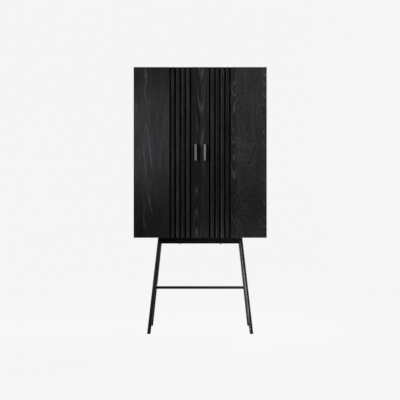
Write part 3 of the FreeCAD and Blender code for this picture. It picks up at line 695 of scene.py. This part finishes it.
def screw_frame(places):
    """A matrix that puts a screw made at the origin where a plain screw's corners are."""
    low, high = corners(places)
    size = high - low
    axis = max(range(3), key=lambda index: size[index])
    beside = [index for index in range(3) if index != axis][0]
    centre = (low + high) / 2

    def girth(end):
        near = [place for place in places if abs(place[axis] - end[axis]) < 0.05 * MM]
        return max(abs(place[beside] - centre[beside]) for place in near)

    head = high if girth(high) > girth(low) else low
    way = Vector((0, 0, 0))
    way[axis] = 1 if head is high else -1
    place = centre.copy()
    place[axis] = head[axis]
    return Matrix.Translation(place) @ way.to_track_quat("Z", "Y").to_matrix().to_4x4()


def make_screws(material):
    """Cross head screws in place of the plain CAD ones, each left at another turn."""
    wood = cross_head_screw(head=6.0, shank=3.0, length=14.0, head_depth=1.5)
    machine = cross_head_screw(head=8.0, shank=4.0, length=21.0, head_depth=2.0)
    next_turn = 0.7
    sets = (("case_screws", wood, "case_and_frame"), ("door_screws_left", wood, "door_left"),
            ("door_screws_right", wood, "door_right"), ("pull_screws_left", machine, "door_left"),
            ("pull_screws_right", machine, "door_right"), ("shelf_screws", wood, "fold_out_shelf"))
    for name, screw, body in sets:
        shape = bmesh.new()
        for number, places in enumerate(islands(name)):
            spun = Matrix.Rotation(next_turn * number, 4, "Z")
            added(shape, screw, screw_frame(places) @ spun)
        keep(shape, name + "_crossed", material, body, "screw_steel", name)
    wood.free()
    machine.free()


def button_head_bolt():
    """A bolt that points up, with a hexagon socket in the head below it."""
    outline = [(2.75, 0.0), (3.3, 0.05), (3.9, 0.45), (4.45, 1.3), (4.7, 2.4), (4.75, 3.2),
               (4.65, 3.5), (3.0, 3.5), (3.0, 50.0), (0.0, 50.4)]
    socket_radius = 2.3
    socket_depth = 2.2
    bolt = turned(outline, 24)
    hexagon = bmesh.ops.create_circle(bolt, segments=6, radius=socket_radius * MM)["verts"]
    sides = [edge for edge in bolt.edges if all(vert in hexagon for vert in edge.verts)]
    bmesh.ops.subdivide_edges(bolt, edges=sides, cuts=3)
    wire = [edge for edge in bolt.edges if edge.is_wire]
    bmesh.ops.bridge_loops(bolt, edges=rim_at(bolt, 0.0) + wire)
    socket = [edge for edge in bolt.edges if edge.is_boundary]
    sunk = bmesh.ops.extrude_edge_only(bolt, edges=socket)["geom"]
    bmesh.ops.translate(bolt, vec=(0, 0, socket_depth * MM), verts=only_verts(sunk))
    bmesh.ops.holes_fill(bolt, edges=only(bmesh.types.BMEdge, sunk), sides=0)
    return bolt


def make_bolts(material):
    """Button head bolts up through the rails, seen from below."""
    bolt = button_head_bolt()
    shape = bmesh.new()
    for places in islands("frame_bolts"):
        low = min(place.z for place in places)
        middle = sum(places, Vector()) / len(places)
        added(shape, bolt, Matrix.Translation((middle.x, middle.y, low)))
    bolt.free()
    keep(shape, "button_head_bolts", material, "case_and_frame", "bolt_steel", "frame_bolts")


def make_glides(material):
    """Foot pads with a rounded sole, a collar round the leg's end and a plug inside it."""
    outline = [(0.0, 0.0), (8.0, 0.0), (9.2, 0.3), (9.9, 1.1), (10.0, 2.2), (10.0, 4.1),
               (9.8, 4.6), (9.3, 4.9), (7.9, 4.95), (7.9, 17.0), (7.2, 18.0), (0.0, 18.0)]
    pad = turned(outline, 32)
    shape = bmesh.new()
    for places in islands("foot_glides"):
        sole = [place for place in places if place.z < SAME]
        foot = sum(sole, Vector()) / len(sole)
        high = max(place.z for place in places)
        top = [place for place in places if place.z > high - 4 * MM]
        head = sum(top, Vector()) / len(top)
        lean = (head - foot) / (head.z - foot.z)
        slant = Matrix(((1, 0, lean.x, foot.x), (0, 1, lean.y, foot.y), (0, 0, 1, 0), (0, 0, 0, 1)))
        added(shape, pad, slant)
    pad.free()
    keep(shape, "foot_pads", material, "case_and_frame", "glide_plastic", "foot_glides")


# ---- weld beads

LEG_RADIUS = 10 * MM
BAR_RADIUS = 8 * MM
BEAD_RADIUS = 1.3 * MM


def leg_line(name):
    """A point on a leg's middle line, and its direction, from the ends of the CAD tube."""
    places = [vert.co for vert in nodes[name].data.vertices]
    low = min(place.z for place in places)
    high = max(place.z for place in places)

    def middle(ring):
        return sum(corners(ring), Vector()) / 2

    start = middle([place for place in places if place.z < low + SAME])
    end = middle([place for place in places if place.z > high - SAME])
    return start, (end - start).normalized()


def weld_bead(shape, place, way, other, radius, other_radius):
    """A bead round a tube's end where it meets another tube, with fine ripples."""
    ring = bmesh.new()
    start = ring.verts.new((radius + BEAD_RADIUS, 0, 0))
    bmesh.ops.spin(ring, geom=[start], cent=(radius, 0, 0), axis=(0, 1, 0),
                   angle=2 * math.pi, steps=8, use_merge=True)
    bmesh.ops.spin(ring, geom=ring.verts[:] + ring.edges[:], cent=(0, 0, 0), axis=(0, 0, 1),
                   angle=2 * math.pi, steps=72, use_merge=True)
    bmesh.ops.remove_doubles(ring, verts=ring.verts[:], dist=MERGE)
    for vert in ring.verts:
        turn = math.atan2(vert.co.y, vert.co.x)
        core = Vector((radius * math.cos(turn), radius * math.sin(turn), 0))
        ripple = 1 + 0.10 * math.sin(24 * turn)
        vert.co = core + (vert.co - core) * ripple
        vert.co.z += math.sqrt(max(other_radius ** 2 - core.x ** 2, 0))
    flat = way.cross(other).normalized()
    matrix = Matrix((flat, way.cross(flat), way)).transposed().to_4x4()
    added(shape, ring, Matrix.Translation(place) @ matrix)
    ring.free()


def make_welds(material):
    """Beads where the stretchers meet the legs and each other."""
    shape = bmesh.new()
    low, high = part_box("stretcher_cross")
    middle_y = (low.y + high.y) / 2
    height = (low.z + high.z) / 2
    for side, sign in SIDES:
        ends = []
        for end, back in (("front", 1), ("rear", -1)):
            foot, way = leg_line("leg_" + end + "_" + side)
            place = foot + way * ((height - foot.z) / way.z)
            ends.append(place)
            weld_bead(shape, place, Vector((0, back, 0)), way, BAR_RADIUS, LEG_RADIUS)
        bar_x = (ends[0].x + ends[1].x) / 2
        weld_bead(shape, Vector((bar_x, middle_y, height)), Vector((-sign, 0, 0)),
                  Vector((0, 1, 0)), BAR_RADIUS, BAR_RADIUS)
    keep(shape, "weld_beads", material, "case_and_frame", "frame_steel")


# ---- pulls and catch

def edges_at(shape, places):
    """The upright edges of a pull at some (distance from the middle, Y) places."""
    return [edge for edge in shape.edges
            if any(all(abs(abs(vert.co.x) - x) < SAME and abs(vert.co.y - y) < SAME
                       for vert in edge.verts) for x, y in places)]


def make_pull(side, sign, material):
    """A folded plate with softened edges: base on the door, web, and lip away from the middle."""
    plate = 3.0 * MM
    low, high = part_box("pull_" + side)
    web = min(abs(low.x), abs(high.x))
    lip = max(abs(low.x), abs(high.x))
    front, back = low.y, high.y
    outline = [(web, back), (web, front), (lip, front), (lip, front + plate),
               (web + plate, front + plate), (web + plate, back - plate), (lip, back - plate),
               (lip, back)]
    shape = bmesh.new()
    verts = [shape.verts.new((sign * x, y, low.z)) for x, y in outline]
    bmesh.ops.contextual_create(shape, geom=verts)
    risen = bmesh.ops.extrude_face_region(shape, geom=shape.faces[:])
    bmesh.ops.translate(shape, vec=(0, 0, high.z - low.z), verts=only_verts(risen["geom"]))
    bmesh.ops.recalc_face_normals(shape, faces=shape.faces[:])
    outer_folds = (web, front), (web, back)
    inner_folds = (web + plate, front + plate), (web + plate, back - plate)
    soften(shape, edges_at(shape, outer_folds), width=2.6, steps=6)
    soften(shape, edges_at(shape, inner_folds), width=1.2, steps=4)
    rims = [edge for edge in shape.edges
            if len(edge.link_faces) == 2 and edge.calc_face_angle(0) > math.radians(50)]
    soften(shape, rims, width=0.45, steps=3)
    keep(shape, "folded_pull_" + side, material, "door_" + side, "pull_steel", "pull_" + side)


def make_catch_poles(material):
    """Steel pole plates that stand in the catch's front, two for each door."""
    low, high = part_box("magnetic_catch")
    middle = (low.z + high.z) / 2
    thick, deep, tall = 1.6, 3.0, 9.0
    sunk = 1.35 * MM
    shape = bmesh.new()
    for x in (-15.5, -5.5, 5.5, 15.5):
        plate = bmesh.ops.create_cube(shape, size=1.0)["verts"]
        bmesh.ops.scale(shape, vec=(thick * MM, deep * MM, tall * MM), verts=plate)
        bmesh.ops.translate(shape, vec=(x * MM, low.y + sunk, middle), verts=plate)
    soften(shape, shape.edges[:], width=0.25, steps=2)
    keep(shape, "catch_poles", material, "case_and_frame", "plate_steel")


def make_details(frame_coat):
    make_screws(brushed_metal("blackened_screw_steel", 0.07, 0.12, 0.32))
    make_bolts(brushed_metal("blackened_bolt_steel", 0.06, 0.10, 0.30))
    make_glides(moulded_plastic("glide_plastic", 0.010))
    make_welds(frame_coat)
    pull_coat = satin_coat("satin_grey_pull", 0.122, 0.155)
    for side, sign in SIDES:
        make_pull(side, sign, pull_coat)
    make_catch_poles(brushed_metal("pole_steel", 0.22, 0.32, 0.36, "X"))


# ---- stage, light and camera

BACKGROUND = grey(0.92)
WHITE = grey(1)
WORLD_LIGHT = 0.17
SHADOW_SHARE = 0.10
CAMERA_SIDE = -0.001
CAMERA_DISTANCE = 6.5
CAMERA_HEIGHT = 0.914
CAMERA_LENS = 103.82
CAMERA_SHIFT = -27.5 / 400


def seen_as_background(finish):
    """1 for the rays that see the studio, straight or in a gloss, 0 for those that light it."""
    camera = finish.node("LightPath", output="Is Camera Ray")
    mirrored = finish.math("MAXIMUM", camera, finish.also(camera, "Is Glossy Ray"))
    return finish.math("MAXIMUM", mirrored, finish.also(camera, "Is Transmission Ray"))


def pale_sweep():
    """Floor and backdrop: seen as an even pale tone that keeps part of the shadow."""
    finish = Finish("pale_sweep")
    mottled = finish.noise(finish.place(), scale=3.0)
    matt = finish.node("BsdfPrincipled", {}, {
        "Base Color": finish.blend(mottled, grey(0.84), grey(0.88)),
        "Roughness": 1.0, "Specular IOR Level": 0.0})
    glow = finish.node("Emission", {}, {"Color": WHITE, "Strength": 1.0})
    share = seen_as_background(finish) * (1 - SHADOW_SHARE)
    return finish.output(finish.node("MixShader", {}, {0: share, 1: matt, 2: glow}))


def make_stage():
    """A floor that sweeps up behind the object."""
    wide, front, back, bend, rise = 14.0, -9.0, 5.0, 2.0, 6.0
    sweep = bmesh.new()
    start = sweep.verts.new((-wide, front, 0))
    corner = sweep.verts.new((-wide, back, 0))
    sweep.edges.new((start, corner))
    turned_up = bmesh.ops.spin(sweep, geom=[corner], cent=(-wide, back, bend), axis=(1, 0, 0),
                               angle=math.pi / 2, steps=24)
    last = only_verts(turned_up["geom_last"])[0]
    top = sweep.verts.new(last.co + Vector((0, 0, rise)))
    sweep.edges.new((last, top))
    bmesh.ops.remove_doubles(sweep, verts=sweep.verts[:], dist=0.1 * MM)
    grown = bmesh.ops.extrude_edge_only(sweep, edges=sweep.edges[:])
    bmesh.ops.translate(sweep, verts=only_verts(grown["geom"]), vec=(2 * wide, 0, 0))
    bmesh.ops.recalc_face_normals(sweep, faces=sweep.faces[:])
    standing(sweep, "studio_sweep", pale_sweep())


def softbox(name, place, target, size, power, spread):
    """A rectangular lamp that faces a target. Spread is how wide its beam opens, in degrees."""
    data = bpy.data.lights.new(name, "AREA")
    data.shape = "RECTANGLE"
    data.size, data.size_y = size
    data.energy = power
    data.spread = math.radians(spread)
    light = bpy.data.objects.new(name, data)
    bpy.context.scene.collection.objects.link(light)
    light.location = place
    light.rotation_euler = (Vector(target) - Vector(place)).to_track_quat("-Z", "Y").to_euler()


def make_light():
    """Key from the left, a weak fill, a low strip on the legs, and one from behind."""
    softbox("key_softbox", (-2.3, -2.45, 1.45), (0.05, -0.2, 1.55), size=(0.9, 0.9),
            power=11.6, spread=55)
    softbox("fill_softbox", (1.6, -1.8, 2.6), (0.1, -0.2, 1.6), size=(0.9, 0.9),
            power=2.5, spread=65)
    softbox("strip_softbox", (-1.9, -2.1, 0.15), (0.25, -0.1, 0.29), size=(0.3, 0.35),
            power=2.3, spread=12)
    softbox("rear_softbox", (2.0, 2.7, 3.7), (0.0, 0.2, 1.2), size=(1.5, 1.5),
            power=9, spread=50)


def make_world():
    """A plain weak light from all round, seen as the pale background."""
    world = bpy.data.worlds.new("studio")
    bpy.context.scene.world = world
    finish = Finish("studio", world)
    plain = finish.node("Background", {}, {"Color": WHITE, "Strength": WORLD_LIGHT})
    seen = finish.node("Background", {}, {"Color": BACKGROUND, "Strength": 1.0})
    mixed = finish.node("MixShader", {}, {0: seen_as_background(finish), 1: plain, 2: seen})
    finish.output(mixed, "OutputWorld")


def make_camera():
    """A level camera in front of the doors, framed by its shift."""
    data = bpy.data.cameras.new("camera")
    data.lens = CAMERA_LENS
    data.sensor_width = 36
    data.shift_y = CAMERA_SHIFT
    camera = bpy.data.objects.new("camera", data)
    bpy.context.scene.collection.objects.link(camera)
    camera.location = (CAMERA_SIDE, DOOR_FACE_Y - CAMERA_DISTANCE, CAMERA_HEIGHT)
    camera.rotation_euler = (math.pi / 2, 0, 0)
    bpy.context.scene.camera = camera


frame_coat = powder_coat("frame_powder_coat", 0.005, 0.009, 0.28, gloss=0.10)
make_camera()
finish_wood()
finish_metal(frame_coat)
make_details(frame_coat)
make_stage()
make_light()
make_world()
bpy.context.scene.view_settings.view_transform = "Standard"
